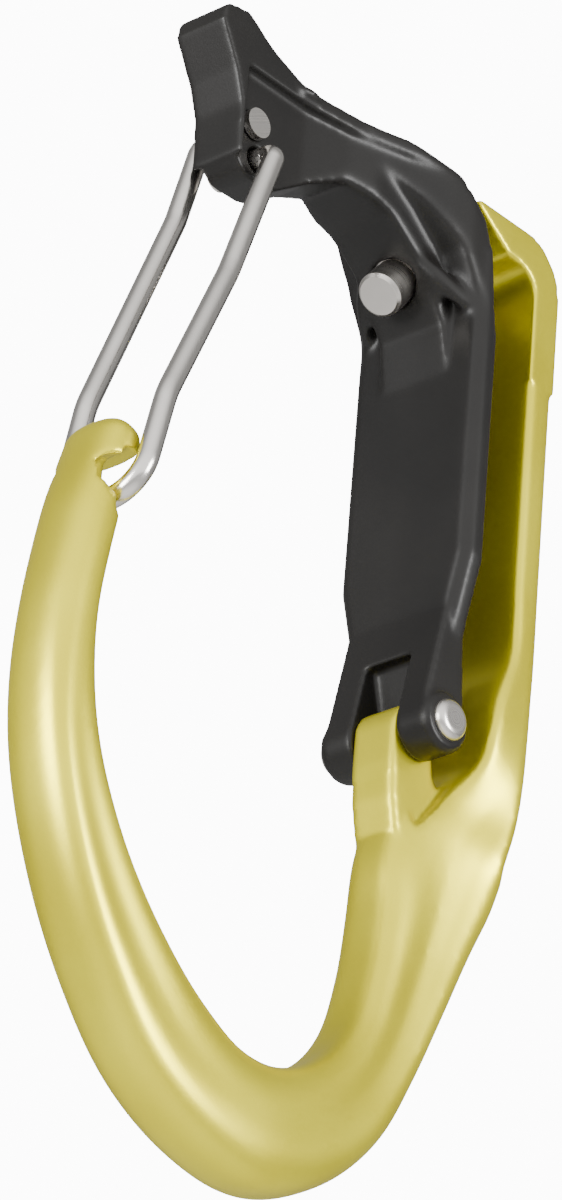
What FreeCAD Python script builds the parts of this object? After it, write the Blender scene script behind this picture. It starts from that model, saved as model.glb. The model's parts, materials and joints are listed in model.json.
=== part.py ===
"""Gear-racking carabiner for a harness: a forged hook, a hinged arm with a wire gate, and a stud lock.

Everything is drawn about the hinge axis (along Y, in the middle plane). Each piece's Placement then
moves it so that the origin is the middle of the spine's inner face, where the harness webbing bears.
X runs from the gate to the spine, Z runs up the webbing slot.
"""
import FreeCAD, Part
import math
import os
import Sketcher

os.makedirs("parts", exist_ok=True)
doc = FreeCAD.newDocument("gear_carabiner")

# ---------------------------------------------------------------- driving dimensions, in mm and degrees
SIZES = [
    # where the hinge lies from the webbing seat
    ("seat_from_hinge", 8.6, "hinge axis to the spine's inner face"),
    ("seat_height", 26.5, "hinge axis up to the middle of the webbing slot"),
    # hook
    ("limb_width", 8.4, "width of the forged limb"),
    ("limb_round", 1.6, "rounding of the limb's long edges"),
    ("bend_large", 20.0, "radius where the limb turns gently"),
    ("bend_small", 10.0, "radius where the limb turns more"),
    ("basket_left", 52.6, "hinge axis to the outside of the gate limb"),
    ("basket_depth", 56.8, "hinge axis down to the outside of the basket"),
    ("gate_limb_thick", 6.8, "thickness of the limb under the gate"),
    ("basket_thick", 12.6, "thickness of the limb at the bottom"),
    ("nose_height", 14.4, "hinge axis up to the nose's top"),
    ("nose_head_inner", 43.8, "hinge axis to the inner end of the nose's head"),
    ("neck_inner", 46.3, "hinge axis to the inner side of the nose's neck"),
    ("neck_top", 10.8, "where the head starts above the neck"),
    ("neck_bottom", 3.2, "where the neck starts above the limb"),
    ("neck_web", 3.8, "what is left between the two neck pockets"),
    ("neck_pocket_radius", 2.3, "radius of the pocket in each side of the neck"),
    ("spine_width", 16.0, "width of the spine"),
    ("spine_thick", 3.9, "thickness of the spine"),
    ("flange_top", 61.7, "hinge axis up to the top of the flange"),
    ("flange_thick", 4.4, "thickness of the flange over the slot"),
    ("spine_corner", 6.0, "outer radius between spine and flange"),
    ("slot_bottom", 4.0, "hinge axis down to the bottom of the webbing slot"),
    ("lug_width", 5.7, "width of the hinge lug"),
    ("lug_radius", 3.0, "radius of the hinge lug"),
    # arm
    ("arm_width", 17.6, "width of the arm's plate"),
    ("arm_thick", 2.8, "thickness of the arm's plate"),
    ("arm_face", 0.7, "plate's inner face in front of the hinge axis"),
    ("arm_bevel", 1.0, "bevel along the plate's long edges"),
    ("fork_width", 13.4, "width over the fork"),
    ("fork_height", 8.3, "hinge axis up to the fork's roof"),
    ("leg_radius", 3.3, "radius of the fork's tips"),
    ("beam_width", 9.0, "width of the arm's beam at the shoulder"),
    ("head_width", 6.8, "width of the head"),
    ("head_web", 4.8, "thickness of the head's recessed web"),
    ("beam_top", 64.7, "hinge axis up to the beam's top"),
    ("beam_under", 57.0, "hinge axis up to the beam's underside at the corner"),
    ("corner_radius", 16.0, "gusset radius between plate and beam"),
    ("head_reach", 33.4, "hinge axis to the head's outer face"),
    ("shoulder_slope", 2.9, "how far the slopes beside the shoulder's top reach in and down"),
    ("rim_wall", 0.7, "least wall between the recess and the head's outer face"),
    ("rim_height", 1.9, "height of the rim over the head's recess"),
    ("horn_reach", 37.2, "hinge axis to the tip of the horn"),
    ("horn_top", 69.0, "hinge axis up to the tip of the horn"),
    # wire gate
    ("wire_diameter", 2.3, "gate wire"),
    ("wire_play", 0.35, "radial play of the wire in its holes"),
    ("gate_hole_x", 29.4, "hinge axis to the lower gate hole"),
    ("gate_hole_z", 53.2, "hinge axis up to the lower gate hole"),
    ("gate_hole_gap", 3.8, "distance between the two gate holes"),
    ("gate_hole_lean", 18.0, "lean of the line through the gate holes, in degrees"),
    ("wire_end_gap", 0.1, "gap between the wire's cheek and the head"),
    ("elbow_radius", 1.3, "centre-line radius of the wire's elbows"),
    ("loop_height", 6.0, "hinge axis up to the loop's cross wire"),
    ("loop_gap", 0.15, "gap between the cross wire and the neck"),
    ("leg_spread", 5.5, "middle plane to the leg beside the nose"),
    ("swage_diameter", 3.3, "swaged end of the wire"),
    ("swage_thick", 0.8, "thickness of the swaged end"),
    # hinge pin
    ("nose_round", 0.8, "rounding of the nose's ends"),
    ("head_bend", 3.0, "radius of the head's bends"),
    ("button_chamfer", 0.35, "chamfer of the button"),
    ("pin_diameter", 3.0, "hinge rivet"),
    ("pin_head_diameter", 4.4, "hinge rivet's domed head"),
    ("pin_head_height", 1.0, "height of the domed head"),
    ("running_play", 0.05, "radial running play"),
    ("fork_play", 0.1, "side play between fork and lug"),
    ("lug_gap", 0.6, "gap between the lug and the slot's roof"),
    ("boss_diameter", 6.0, "boss round the rivet on the fork"),
    ("boss_height", 0.6, "height of that boss"),
    # lock
    ("lock_angle", 50.9, "angle of the lock stud above +X, in degrees"),
    ("lock_x", 5.1, "hinge axis to where the stud leaves the arm"),
    ("lock_z", 51.7, "hinge axis up to where the stud leaves the arm"),
    ("button_diameter", 5.0, "stud's button"),
    ("button_out", 3.3, "how far the button stands out"),
    ("collar_diameter", 6.2, "stud's collar that stops it"),
    ("collar_start", 0.9, "arm's skin in front of the collar"),
    ("collar_thick", 0.7, "thickness of the collar"),
    ("shank_diameter", 2.4, "stud's shank"),
    ("spring_room", 3.9, "length of the spring at rest"),
    ("spring_wire", 0.4, "spring wire"),
    ("bush_thick", 1.4, "thickness of the pressed bush"),
    ("catch_diameter", 1.0, "cross pin"),
    ("catch_length", 7.0, "length of the cross pin"),
    ("catch_height", 60.2, "hinge axis up to the cross pin at rest"),
    ("catch_play", 0.08, "play between the cross pin and the lip"),
    ("lip_thick", 0.9, "thickness of the lip that holds the cross pin"),
    ("lip_height", 1.0, "lip's top above the middle of the cross pin"),
]
sheet = doc.addObject("Spreadsheet::Sheet", "sizes")
for row, (alias, value, note) in enumerate(SIZES, 1):
    sheet.set(f"A{row}", note)
    sheet.set(f"B{row}", str(value))
    sheet.setAlias(f"B{row}", alias)
doc.recompute()


class Size:
    """Reads a size from the sheet by its alias."""

    def __getattr__(self, alias):
        return float(getattr(sheet, alias))


size = Size()
NAMES = sorted((alias for alias, _, _ in SIZES), key=len, reverse=True)


def bind(text):
    """A formula in the sheet's aliases, as an expression of the document."""
    words = []
    word = ""
    for letter in text + " ":
        if letter.isalnum() or letter == "_":
            word += letter
            continue
        words.append("sizes." + word if word in NAMES else word)
        words.append(letter)
        word = ""
    return "".join(words).strip()


START = 30.0  # radius of the polygon that an outline starts as
SIDES = {"near": "", "far": "-"}  # the side plane's sign along its sketch's normal, which points to -Y


# ---------------------------------------------------------------- helpers for bodies, sketches and features
def new_body(label):
    """A body whose placement carries it from the hinge axis to the webbing seat."""
    body = doc.addObject("PartDesign::Body", label)
    body.Label = label
    body.setExpression("Placement.Base.x", "-sizes.seat_from_hinge")
    body.setExpression("Placement.Base.z", "-sizes.seat_height")
    return body


def new_sketch(body, name, role, offset="0"):
    """A sketch on one of the body's origin planes, moved along that plane's normal."""
    sketch = body.newObject("Sketcher::SketchObject", name)
    plane = next(p for p in body.Origin.OriginFeatures if p.Role == role)
    sketch.AttachmentSupport = [(plane, "")]
    sketch.MapMode = "FlatFace"
    sketch.setExpression("AttachmentOffset.Base.z", bind(offset))
    return sketch


def pin_point(sketch, geometry, end, across, up):
    """Holds a point of the sketch at two formulas."""
    for kind, text in (("DistanceX", across), ("DistanceY", up)):
        number = sketch.addConstraint(Sketcher.Constraint(kind, -1, 1, geometry, end, 1.0))
        sketch.setExpression(f"Constraints[{number}]", bind(text))


def outline(sketch, corners):
    """A closed outline of straight lines through corners, each a pair of formulas.

    The lines start as a regular polygon, and the formulas then carry every corner to its place.
    """
    count = len(corners)
    turns = [2 * math.pi * i / count for i in range(count)]
    start = [FreeCAD.Vector(START * math.cos(turn), START * math.sin(turn), 0) for turn in turns]
    for i in range(count):
        sketch.addGeometry(Part.LineSegment(start[i], start[(i + 1) % count]))
    for i, (across, up) in enumerate(corners):
        sketch.addConstraint(Sketcher.Constraint("Coincident", (i - 1) % count, 2, i, 1))
        pin_point(sketch, i, 1, across, up)
    return sketch


def circle(sketch, across, up, radius):
    """A circle whose centre and radius are formulas."""
    ring = sketch.addGeometry(Part.Circle(FreeCAD.Vector(0, 0, 0), FreeCAD.Vector(0, 0, 1), 1.0))
    pin_point(sketch, ring, 3, across, up)
    number = sketch.addConstraint(Sketcher.Constraint("Radius", ring, 1.0))
    sketch.setExpression(f"Constraints[{number}]", bind(radius))
    return sketch


def pad(body, sketch, length, both_ways=True, back=False):
    """Adds the sketch, pulled out to a length."""
    feature = body.newObject("PartDesign::Pad", sketch.Name + "_pad")
    feature.Profile = sketch
    feature.setExpression("Length", bind(length))
    feature.Midplane = both_ways
    feature.Reversed = back
    sketch.Visibility = False
    doc.recompute()
    return feature


def pocket(body, sketch, length, both_ways=True, back=False):
    """Cuts the sketch away, and makes sure that it cut something."""
    before = body.Shape.Volume
    feature = body.newObject("PartDesign::Pocket", sketch.Name + "_cut")
    feature.Profile = sketch
    feature.setExpression("Length", bind(length))
    feature.Midplane = both_ways
    feature.Reversed = back
    doc.recompute()
    if not feature.isValid() or body.Shape.Volume > before - 1e-6:
        raise RuntimeError(f"{sketch.Name} cuts nothing: {feature.State} {feature.getStatusString()}")
    return feature


def dress(body, kind, chosen, text):
    """A fillet or chamfer on the edges of the body's tip that chosen picks."""
    tip = body.Tip
    before = tip.Shape.Volume
    names = [f"Edge{i}" for i, edge in enumerate(tip.Shape.Edges, 1) if chosen(edge)]
    if not names:
        raise RuntimeError(f"no edge found for {kind} {text} on {body.Label}")
    feature = body.newObject("PartDesign::" + kind, f"{kind}_{len(body.Group)}")
    feature.Base = (tip, names)
    feature.setExpression("Radius" if kind == "Fillet" else "Size", bind(text))
    doc.recompute()
    if not feature.isValid() or abs(feature.Shape.Volume / before - 1) > 0.15:
        raise RuntimeError(f"{kind} {text} fails on {body.Label}")
    return feature


def along_y_at(sketch, corners):
    """Picks the edges that run along Y through some corners of an outline in the middle plane."""
    spots = [sketch.Geometry[i].StartPoint for i in corners]

    def chosen(edge):
        ends = [v.Point for v in edge.Vertexes]
        if len(ends) != 2 or math.hypot(ends[0].x - ends[1].x, ends[0].z - ends[1].z) > 1e-4:
            return False
        return any(math.hypot(ends[0].x - spot.x, ends[0].z - spot.y) < 1e-3 for spot in spots)

    return chosen


def in_plane_y(offset):
    """Picks the edges that lie in the planes y = offset and y = -offset."""

    def chosen(edge):
        box = edge.BoundBox
        return abs(abs(box.YMin) - offset) < 1e-3 and box.YLength < 1e-3

    return chosen


# ---------------------------------------------------------------- hook
# the cross pin of the lock, its lip and its groove, all in the middle plane
CATCH_X = "-lock_x + (catch_height - lock_z) / tan(lock_angle)"
LIP_RIGHT = f"{CATCH_X} - catch_diameter / 2 - catch_play"
LIP_LEFT = f"{LIP_RIGHT} - lip_thick"
GROOVE_FLOOR = "catch_height - catch_diameter / 2 - catch_play"
GROOVE_WIDTH = "catch_length + 0.4"


def make_hook():
    body = new_body("hook_body")

    # the limb from the nose round the basket up to the hinge lug
    corners = [
        ("-basket_left + 4.9", "nose_height"),
        ("-basket_left", "-5"),
        ("-basket_left + 1.2", "-24"),
        ("-basket_left + 14.6", "-basket_depth + 7.8"),
        ("-basket_left + 28.6", "-basket_depth"),
        ("-9.5", "-basket_depth + 0.6"),
        ("0.5", "-basket_depth + 11.3"),
        ("seat_from_hinge + 3", "-16"),
        ("seat_from_hinge + 1", "-7"),
        ("-lug_radius + 0.3", "-1"),
        ("-lug_radius + 0.1", "-24"),
        ("-8.5", "-basket_depth + basket_thick + 4.7"),
        ("-17", "-basket_depth + basket_thick"),
        ("-27", "-basket_depth + basket_thick + 2.2"),
        ("-basket_left + gate_limb_thick + 6.3", "-31"),
        ("-basket_left + gate_limb_thick + 0.5", "-17"),
        ("-basket_left + gate_limb_thick", "-3"),
        ("-nose_head_inner", "nose_height - 0.3"),
    ]
    limb = outline(new_sketch(body, "limb", "XZ_Plane"), corners)
    pad(body, limb, "limb_width")
    dress(body, "Fillet", along_y_at(limb, [1, 2, 3, 6, 7, 10, 14, 15, 16]), "bend_large")
    dress(body, "Fillet", along_y_at(limb, [4, 5, 11, 12, 13]), "bend_small")
    dress(body, "Fillet", limb_edges, "limb_round")
    dress(body, "Fillet", nose_edges, "nose_round")

    # the neck under the nose's head: a notch for the loop, and a pocket in each side
    corners = [
        ("-neck_inner + 3", "neck_bottom - 1.8"),
        ("-neck_inner", "neck_bottom"),
        ("-neck_inner", "neck_top"),
        ("-neck_inner + 4", "neck_top + 2"),
    ]
    pocket(body, outline(new_sketch(body, "notch", "XZ_Plane"), corners), "limb_width + 2")
    for side in SIDES:
        sketch = new_sketch(body, side + "_neck", "XZ_Plane", SIDES[side] + "neck_web / 2")
        circle(sketch, "-neck_inner - 0.9", "(neck_top + neck_bottom) / 2 + 0.6", "neck_pocket_radius")
        pocket(body, sketch, "limb_width", False, back=side == "near")

    # spine and top flange
    corners = [
        ("seat_from_hinge", "flange_top - flange_thick"),
        ("seat_from_hinge", "7"),
        ("5.3", "-slot_bottom"),
        ("1", "-9"),
        ("-1.5", "-20"),
        ("2.8", "-36"),
        ("seat_from_hinge + 3", "-16"),
        ("seat_from_hinge + spine_thick + 0.2", "1"),
        ("seat_from_hinge + spine_thick", "flange_top"),
        ("-1.2", "flange_top"),
        ("-1.2", "flange_top - 0.9"),
        ("4.2", "flange_top - flange_thick"),
    ]
    spine = outline(new_sketch(body, "spine", "XZ_Plane"), corners)
    pad(body, spine, "spine_width")
    dress(body, "Fillet", along_y_at(spine, [8]), "spine_corner")
    dress(body, "Fillet", along_y_at(spine, [0]), "spine_corner - 3")
    dress(body, "Fillet", along_y_at(spine, [1]), "bend_small")

    # the spine's root narrows down to the limb
    for side in SIDES:
        sign = SIDES[side]
        corners = [
            (f"{sign}(spine_width / 2 + 1)", "-2"),
            (f"{sign}spine_width / 2", "-4"),
            (f"{sign}(limb_width / 2 - 0.02)", "-27"),
            (f"{sign}(limb_width / 2 - 0.02)", "-40"),
            (f"{sign}(spine_width / 2 + 1)", "-40"),
        ]
        pocket(body, outline(new_sketch(body, side + "_root", "YZ_Plane"), corners), "60")

    # hinge lug
    lug = circle(new_sketch(body, "lug", "XZ_Plane"), "0", "0", "lug_radius")
    pad(body, lug, "lug_width")
    neck = [
        ("-lug_radius", "0"),
        ("-lug_radius + 0.25", "-8"),
        ("5.3", "-8"),
        ("lug_radius", "0"),
    ]
    pad(body, outline(new_sketch(body, "lug_neck", "XZ_Plane"), neck), "lug_width")
    # the limb is cut back beside the lug, so that the fork's tips pass
    for side in SIDES:
        sketch = new_sketch(body, side + "_fork_room", "XZ_Plane", SIDES[side] + "lug_width / 2")
        circle(sketch, "0", "0", "leg_radius + 0.4")
        pocket(body, sketch, "spine_width", False, back=side == "near")
    hole = circle(new_sketch(body, "hinge_hole", "XZ_Plane"), "0", "0", "pin_diameter / 2 + running_play")
    pocket(body, hole, "spine_width")

    # tongue under the flange's tip, with the lip and the groove for the lock's cross pin
    corners = [
        (LIP_LEFT, "catch_height - 2.1"),
        ("5", "flange_top - flange_thick"),
        ("5", "flange_top - 1"),
        (LIP_LEFT, "flange_top - 1"),
    ]
    pad(body, outline(new_sketch(body, "tongue", "XZ_Plane"), corners), GROOVE_WIDTH)
    corners = [
        (LIP_RIGHT, GROOVE_FLOOR),
        ("4.9", GROOVE_FLOOR),
        ("4.9", "flange_top + 5"),
        ("-6", "flange_top + 5"),
        ("-6", "catch_height + lip_height"),
        (LIP_RIGHT, "catch_height + lip_height"),
    ]
    pocket(body, outline(new_sketch(body, "groove", "XZ_Plane"), corners), GROOVE_WIDTH)
    corners = [
        ("-6", "flange_top - 6"),
        (LIP_LEFT, "flange_top - 6"),
        (LIP_LEFT, "flange_top + 5"),
        ("-6", "flange_top + 5"),
    ]
    pocket(body, outline(new_sketch(body, "tip_gap", "XZ_Plane"), corners), GROOVE_WIDTH)
    corners = [
        ("-6", "flange_top - 8"),
        ("6", "flange_top - 8"),
        ("6", "flange_top + 5"),
        ("-6", "flange_top + 5"),
    ]
    pocket(body, outline(new_sketch(body, "shank_slot", "XZ_Plane"), corners), "shank_diameter + 0.4")
    return body


def limb_edges(edge):
    """Picks the limb's long edges, which leave out the nose's top and the end by the hinge."""
    box = edge.BoundBox
    in_side = abs(abs(box.YMin) - size.limb_width / 2) < 1e-3 and box.YLength < 1e-3
    at_top = box.ZMin > size.nose_height - 1
    at_hinge = box.ZMin > -8 and box.XMin > -5
    return in_side and not at_top and not at_hinge


def nose_edges(edge):
    """Picks the edges round the nose's top."""
    return edge.BoundBox.ZMin > size.nose_height - 0.5


# ---------------------------------------------------------------- arm
LOCK_X = "-lock_x + ({}) * cos(lock_angle)"
LOCK_Z = "lock_z + ({}) * sin(lock_angle)"
UPPER_X = "-gate_hole_x - gate_hole_gap * sin(gate_hole_lean)"
UPPER_Z = "gate_hole_z + gate_hole_gap * cos(gate_hole_lean)"
CHAMBER = "collar_diameter / 2 + 2 * running_play"
BUSH_START = "collar_start + collar_thick + spring_room"


def lock_sketch(body, name, along):
    """A sketch square to the lock's axis, some way along it from where the stud leaves the arm."""
    sketch = new_sketch(body, name, "XY_Plane")
    sketch.setExpression("AttachmentOffset.Base.x", bind(LOCK_X.format(along)))
    sketch.setExpression("AttachmentOffset.Base.z", bind(LOCK_Z.format(along)))
    sketch.AttachmentOffset = FreeCAD.Placement(
        FreeCAD.Vector(), FreeCAD.Rotation(FreeCAD.Vector(0, 1, 0), 90 - size.lock_angle)
    )
    sketch.setExpression("AttachmentOffset.Rotation.Angle", bind("90 - lock_angle"))
    return sketch


def lock_round(body, name, along, length, radius, cut=False):
    """A round along the lock's axis, added or cut."""
    sketch = circle(lock_sketch(body, name, along), "0", "0", radius)
    return pocket(body, sketch, length, False, back=True) if cut else pad(body, sketch, length, False)


def make_arm():
    body = new_body("clip_arm")

    # plate
    half = [
        ("fork_width / 2", "1"),
        ("fork_width / 2", "fork_height + 2"),
        ("arm_width / 2", "fork_height + 11"),
        ("arm_width / 2", "beam_under - 1"),
    ]
    corners = half + [("-(" + across + ")", up) for across, up in reversed(half)]
    plate = outline(new_sketch(body, "plate", "YZ_Plane", "-arm_face"), corners)
    pad(body, plate, "arm_thick", False)
    dress(body, "Chamfer", plate_edges, "arm_bevel")

    # the shoulder flares from the beam out to the plate's full width
    corners = [
        ("arm_thick - arm_face - 0.6", "beam_under - 7"),
        ("arm_thick - arm_face - 0.6", "beam_top - 0.2"),
        ("-15.4", "beam_top - 0.2"),
        ("-14", "beam_top - 3.5"),
        ("-8", "beam_under + 1.2"),
        ("-3.6", "beam_under - 2.2"),
        ("-arm_face + 0.4", "beam_under - 8"),
    ]
    pad(body, outline(new_sketch(body, "shoulder", "XZ_Plane"), corners), "arm_width - 0.6")

    # beam, head and horn, with the gusset down to the plate
    corners = [
        ("arm_thick - arm_face - 0.4", "beam_under - corner_radius"),
        ("arm_thick - arm_face - 0.4", "beam_top - 3"),
        ("-2.7", "beam_top - 2.4"),
        ("-6", "beam_top"),
        ("-24", "beam_top"),
        ("-29.5", "beam_top + 1.9"),
        ("-33.4", "horn_top"),
        ("-horn_reach + 0.4", "horn_top - 0.6"),
        ("-horn_reach", "horn_top - 2.8"),
        ("-head_reach - 1.2", "beam_top - 3.2"),
        ("-head_reach", "beam_under + 1"),
        ("-head_reach + 0.3", "beam_under - 4.6"),
        ("-head_reach + 2.2", "beam_under - 6.4"),
        ("-26.5", "beam_under - 6"),
        ("-21.5", "beam_under - 2.4"),
        ("-arm_face - corner_radius", "beam_under"),
        ("-arm_face - 0.62 * corner_radius", "beam_under - 0.07 * corner_radius"),
        ("-arm_face - 0.29 * corner_radius", "beam_under - 0.29 * corner_radius"),
        ("-arm_face - 0.07 * corner_radius", "beam_under - 0.62 * corner_radius"),
        ("-arm_face + 0.1", "beam_under - corner_radius"),
    ]
    beam = outline(new_sketch(body, "beam", "XZ_Plane"), corners)
    pad(body, beam, "beam_width")
    dress(body, "Fillet", along_y_at(beam, [5, 10, 12, 13, 14]), "head_bend")
    dress(body, "Fillet", along_y_at(beam, [6, 7]), "head_bend / 3")

    # from above, the sides taper to the head, and below the rim they go in to a web
    for side in SIDES:
        sign = SIDES[side]
        taper = [
            ("-arm_face - 0.2", f"{sign}(arm_width / 2 + 0.1)"),
            ("-3", f"{sign}(arm_width / 2 - 0.5)"),
            ("-9", f"{sign}(arm_width / 2 - 2.2)"),
            ("-16", f"{sign}(beam_width / 2 - 0.1)"),
            ("-24", f"{sign}head_width / 2"),
            ("-50", f"{sign}head_width / 2"),
            ("-50", f"{sign}(arm_width / 2 + 2)"),
            ("-arm_face - 0.2", f"{sign}(arm_width / 2 + 2)"),
        ]
        pocket(body, outline(new_sketch(body, side + "_taper", "XY_Plane"), taper), "200")
        web = [
            ("-3.4", f"{sign}(arm_width / 2 - 0.4)"),
            ("-10", f"{sign}(arm_width / 2 - 3.2)"),
            ("-17", f"{sign}(head_web / 2 + 1)"),
            ("-23", f"{sign}head_web / 2"),
            ("-head_reach + rim_wall", f"{sign}head_web / 2"),
            ("-head_reach + rim_wall", f"{sign}(arm_width / 2 + 2)"),
            ("-3.4", f"{sign}(arm_width / 2 + 2)"),
        ]
        sketch = outline(new_sketch(body, side + "_web", "XY_Plane", "beam_top - rim_height"), web)
        pocket(body, sketch, "60", False)

        # the shoulder's top slopes down to each side
        slope = [
            (f"{sign}(arm_width / 2 - shoulder_slope)", "beam_top"),
            (f"{sign}(arm_width / 2 + 1)", "beam_top - shoulder_slope - 1"),
            (f"{sign}(arm_width / 2 + 1)", "beam_top + 1"),
            (f"{sign}(arm_width / 2 - shoulder_slope)", "beam_top + 1"),
        ]
        pocket(body, outline(new_sketch(body, side + "_slope", "YZ_Plane"), slope), "60")

    # the plate's back leans away from the flange
    back = [
        ("arm_thick - arm_face", "beam_under - 2.4"),
        ("-0.4", "beam_under + 0.6"),
        ("-1.7", "beam_under + 2.8"),
        ("-2.7", "beam_top - 2.4"),
        ("-2.7", "beam_top + 3"),
        ("6", "beam_top + 3"),
        ("6", "beam_under - 2.4"),
    ]
    pocket(body, outline(new_sketch(body, "back_slant", "XZ_Plane"), back), "beam_width")
    for side in SIDES:
        corners = [
            ("arm_thick - arm_face", "beam_under - 11"),
            ("arm_thick - arm_face - 0.6", "beam_under - 5"),
            ("arm_thick - arm_face - 1.5", "beam_under"),
            ("-0.2", "beam_under + 2.2"),
            ("-1.7", "beam_under + 3.6"),
            ("-3.4", "beam_under + 5.1"),
            ("-3.4", "beam_top + 3"),
            ("6", "beam_top + 3"),
            ("6", "beam_under - 11"),
        ]
        offset = SIDES[side] + "beam_width / 2"
        sketch = outline(new_sketch(body, side + "_slant", "XZ_Plane", offset), corners)
        pocket(body, sketch, "arm_width", False, back=side == "near")

    # fork
    tip = circle(new_sketch(body, "fork_tip", "XZ_Plane"), "0", "0", "leg_radius")
    pad(body, tip, "fork_width")
    corners = [
        ("-leg_radius + 0.15", "1"),
        ("-arm_face", "fork_height + 5"),
        ("arm_thick - arm_face", "fork_height + 5"),
        ("leg_radius - 0.15", "1"),
    ]
    pad(body, outline(new_sketch(body, "fork", "XZ_Plane"), corners), "fork_width")
    corners = [
        ("-lug_width / 2 - fork_play", "-10"),
        ("lug_width / 2 + fork_play", "-10"),
        ("lug_width / 2 + fork_play", "fork_height"),
        ("-lug_width / 2 - fork_play", "fork_height"),
    ]
    pocket(body, outline(new_sketch(body, "fork_slot", "YZ_Plane"), corners), "40")
    boss = circle(new_sketch(body, "boss", "XZ_Plane"), "0", "0", "boss_diameter / 2")
    # the boss is a ring on each cheek, so the slot between the cheeks is cut again
    pad(body, boss, "fork_width + 2 * boss_height")
    pocket(body, outline(new_sketch(body, "fork_slot_again", "YZ_Plane"), corners), "40")
    # the slot's roof slopes down to the plate's back, just clear of the lug
    corners = [
        ("-arm_face + 0.3", "fork_height + 0.2"),
        ("0.9", "lug_radius + lug_gap"),
        ("arm_thick - arm_face", "lug_radius + lug_gap"),
        ("arm_thick - arm_face", "fork_height + 0.2"),
    ]
    pad(body, outline(new_sketch(body, "slot_roof", "XZ_Plane"), corners), "lug_width + 2 * fork_play + 1")
    hole = circle(new_sketch(body, "pin_hole", "XZ_Plane"), "0", "0", "pin_diameter / 2")
    pocket(body, hole, "fork_width + 20")

    # holes for the gate wire
    lower = circle(new_sketch(body, "lower_hole", "XZ_Plane"), "-gate_hole_x", "gate_hole_z",
                   "wire_diameter / 2 + wire_play")
    pocket(body, lower, "arm_width")
    upper = circle(new_sketch(body, "upper_hole", "XZ_Plane"), UPPER_X, UPPER_Z,
                   "wire_diameter / 2 + wire_play")
    pocket(body, upper, "arm_width")

    # bore for the lock: the button's hole from inside, the collar's chamber from behind
    lock_round(body, "button_bore", "-8", "8 + collar_start + 0.5", "button_diameter / 2 + running_play", True)
    lock_round(body, "chamber", "collar_start", "20", CHAMBER, True)
    return body


def plate_edges(edge):
    """Picks the long edges of the plate's inner face."""
    box = edge.BoundBox
    on_face = abs(box.XMin + size.arm_face) < 1e-3 and box.XLength < 1e-3
    return on_face and box.ZLength > 3 and abs(box.YMin) > size.fork_width / 2 - 1e-3 and box.ZMin > 5


# ---------------------------------------------------------------- hinge pin
def make_hinge_pin():
    body = new_body("hinge_pin")
    shank = circle(new_sketch(body, "rivet", "XZ_Plane"), "0", "0", "pin_diameter / 2")
    pad(body, shank, "fork_width + 2 * boss_height")
    for side in SIDES:
        offset = SIDES[side] + "(fork_width / 2 + boss_height)"
        head = circle(new_sketch(body, side + "_head", "XZ_Plane", offset), "0", "0", "pin_head_diameter / 2")
        pad(body, head, "pin_head_height", False, back=side == "far")
    ends = size.fork_width / 2 + size.boss_height + size.pin_head_height
    dress(body, "Fillet", in_plane_y(ends), "pin_head_height * 0.9")
    return body


# ---------------------------------------------------------------- lock
CATCH_ALONG = "(catch_height - lock_z) / sin(lock_angle)"


def make_lock_pin():
    body = new_body("lock_pin")
    lock_round(body, "button", "-button_out", "button_out + collar_start + 0.2", "button_diameter / 2")
    dress(body, "Chamfer", button_rim, "button_chamfer")
    lock_round(body, "collar", "collar_start", "collar_thick", "collar_diameter / 2")
    lock_round(body, "shank", "collar_start", f"{CATCH_ALONG} - collar_start + 1.2", "shank_diameter / 2")
    hole = circle(new_sketch(body, "cross_hole", "XZ_Plane"), CATCH_X, "catch_height", "catch_diameter / 2")
    pocket(body, hole, "10")
    return body


def button_rim(edge):
    """Picks the rim of the button's pressed end."""
    middle = edge.BoundBox.Center
    along = (middle.x + size.lock_x) * math.cos(math.radians(size.lock_angle))
    along += (middle.z - size.lock_z) * math.sin(math.radians(size.lock_angle))
    return abs(along + size.button_out) < 0.05 and edge.Length > size.button_diameter * 3


def make_catch_pin():
    body = new_body("catch_pin")
    pin = circle(new_sketch(body, "dowel", "XZ_Plane"), CATCH_X, "catch_height", "catch_diameter / 2")
    pad(body, pin, "catch_length")
    return body


def make_bush():
    body = new_body("lock_bush")
    lock_round(body, "ring", BUSH_START, "bush_thick", CHAMBER)
    lock_round(body, "bore", BUSH_START + " - 1", "bush_thick + 2", "shank_diameter / 2 + running_play", True)
    return body


# ---------------------------------------------------------------- wires, which follow a path in space
def placed(label, shape):
    """A piece whose shape is set here, carried from the hinge axis to the webbing seat like the bodies."""
    piece = doc.addObject("Part::Feature", label)
    piece.Label = label
    piece.Shape = shape
    piece.Placement = FreeCAD.Placement(
        FreeCAD.Vector(-size.seat_from_hinge, 0, -size.seat_height), FreeCAD.Rotation()
    )
    return piece


def bent_path(points, radii):
    """Straight runs through the points, joined by tangent arcs with the given radii."""
    edges = []
    start = points[0]
    for before, corner, after, radius in zip(points, points[1:], points[2:], radii):
        back = (before - corner).normalize()
        on = (after - corner).normalize()
        reach = radius / math.tan(back.getAngle(on) / 2)
        middle = (back + on).normalize()
        apex = corner + middle * (radius / math.sin(back.getAngle(on) / 2) - radius)
        leave, join = corner + back * reach, corner + on * reach
        if (leave - start).Length > 1e-6:
            edges.append(Part.LineSegment(start, leave).toShape())
        edges.append(Part.Arc(leave, apex, join).toShape())
        start = join
    if (points[-1] - start).Length > 1e-6:
        edges.append(Part.LineSegment(start, points[-1]).toShape())
    return Part.Wire(edges)


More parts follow.
